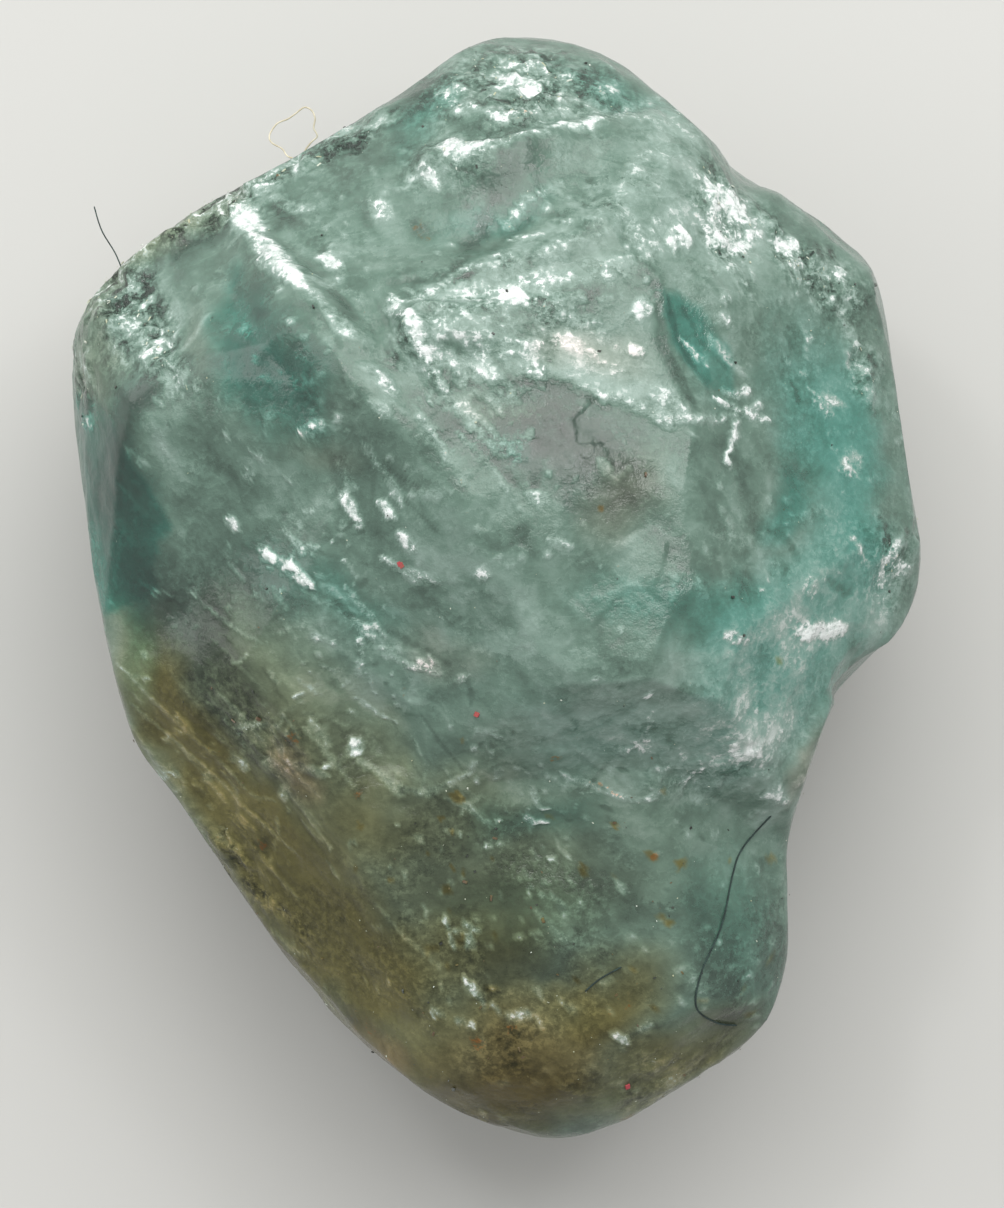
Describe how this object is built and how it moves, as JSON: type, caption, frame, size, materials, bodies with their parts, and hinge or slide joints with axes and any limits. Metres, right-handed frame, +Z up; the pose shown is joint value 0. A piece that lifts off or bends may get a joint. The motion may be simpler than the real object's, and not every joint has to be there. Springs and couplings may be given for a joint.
{
  "type": "blue zircon crystal",
  "caption": "Rough water-worn crystal of cloudy blue-green zircon: a block-shaped body with pyramid faces at its head that steps down to a narrower tail, lying on a flat worn face.",
  "frame": {"origin": "on the surface that the stone lies on, under the middle of the box round the stone", "axes": "+Z up, away from the resting face; +Y along the stone's length from the narrow tail to the head; +X to the right when the stone is seen from above with its head up"},
  "size_m": [0.0126, 0.0164, 0.0094],
  "materials": {
    "zircon": "translucent cloudy blue-green, water-worn with a soft gloss"
  },
  "bodies": {
    "root": {"zircon_crystal": "zircon"}
  },
  "joints": []
}
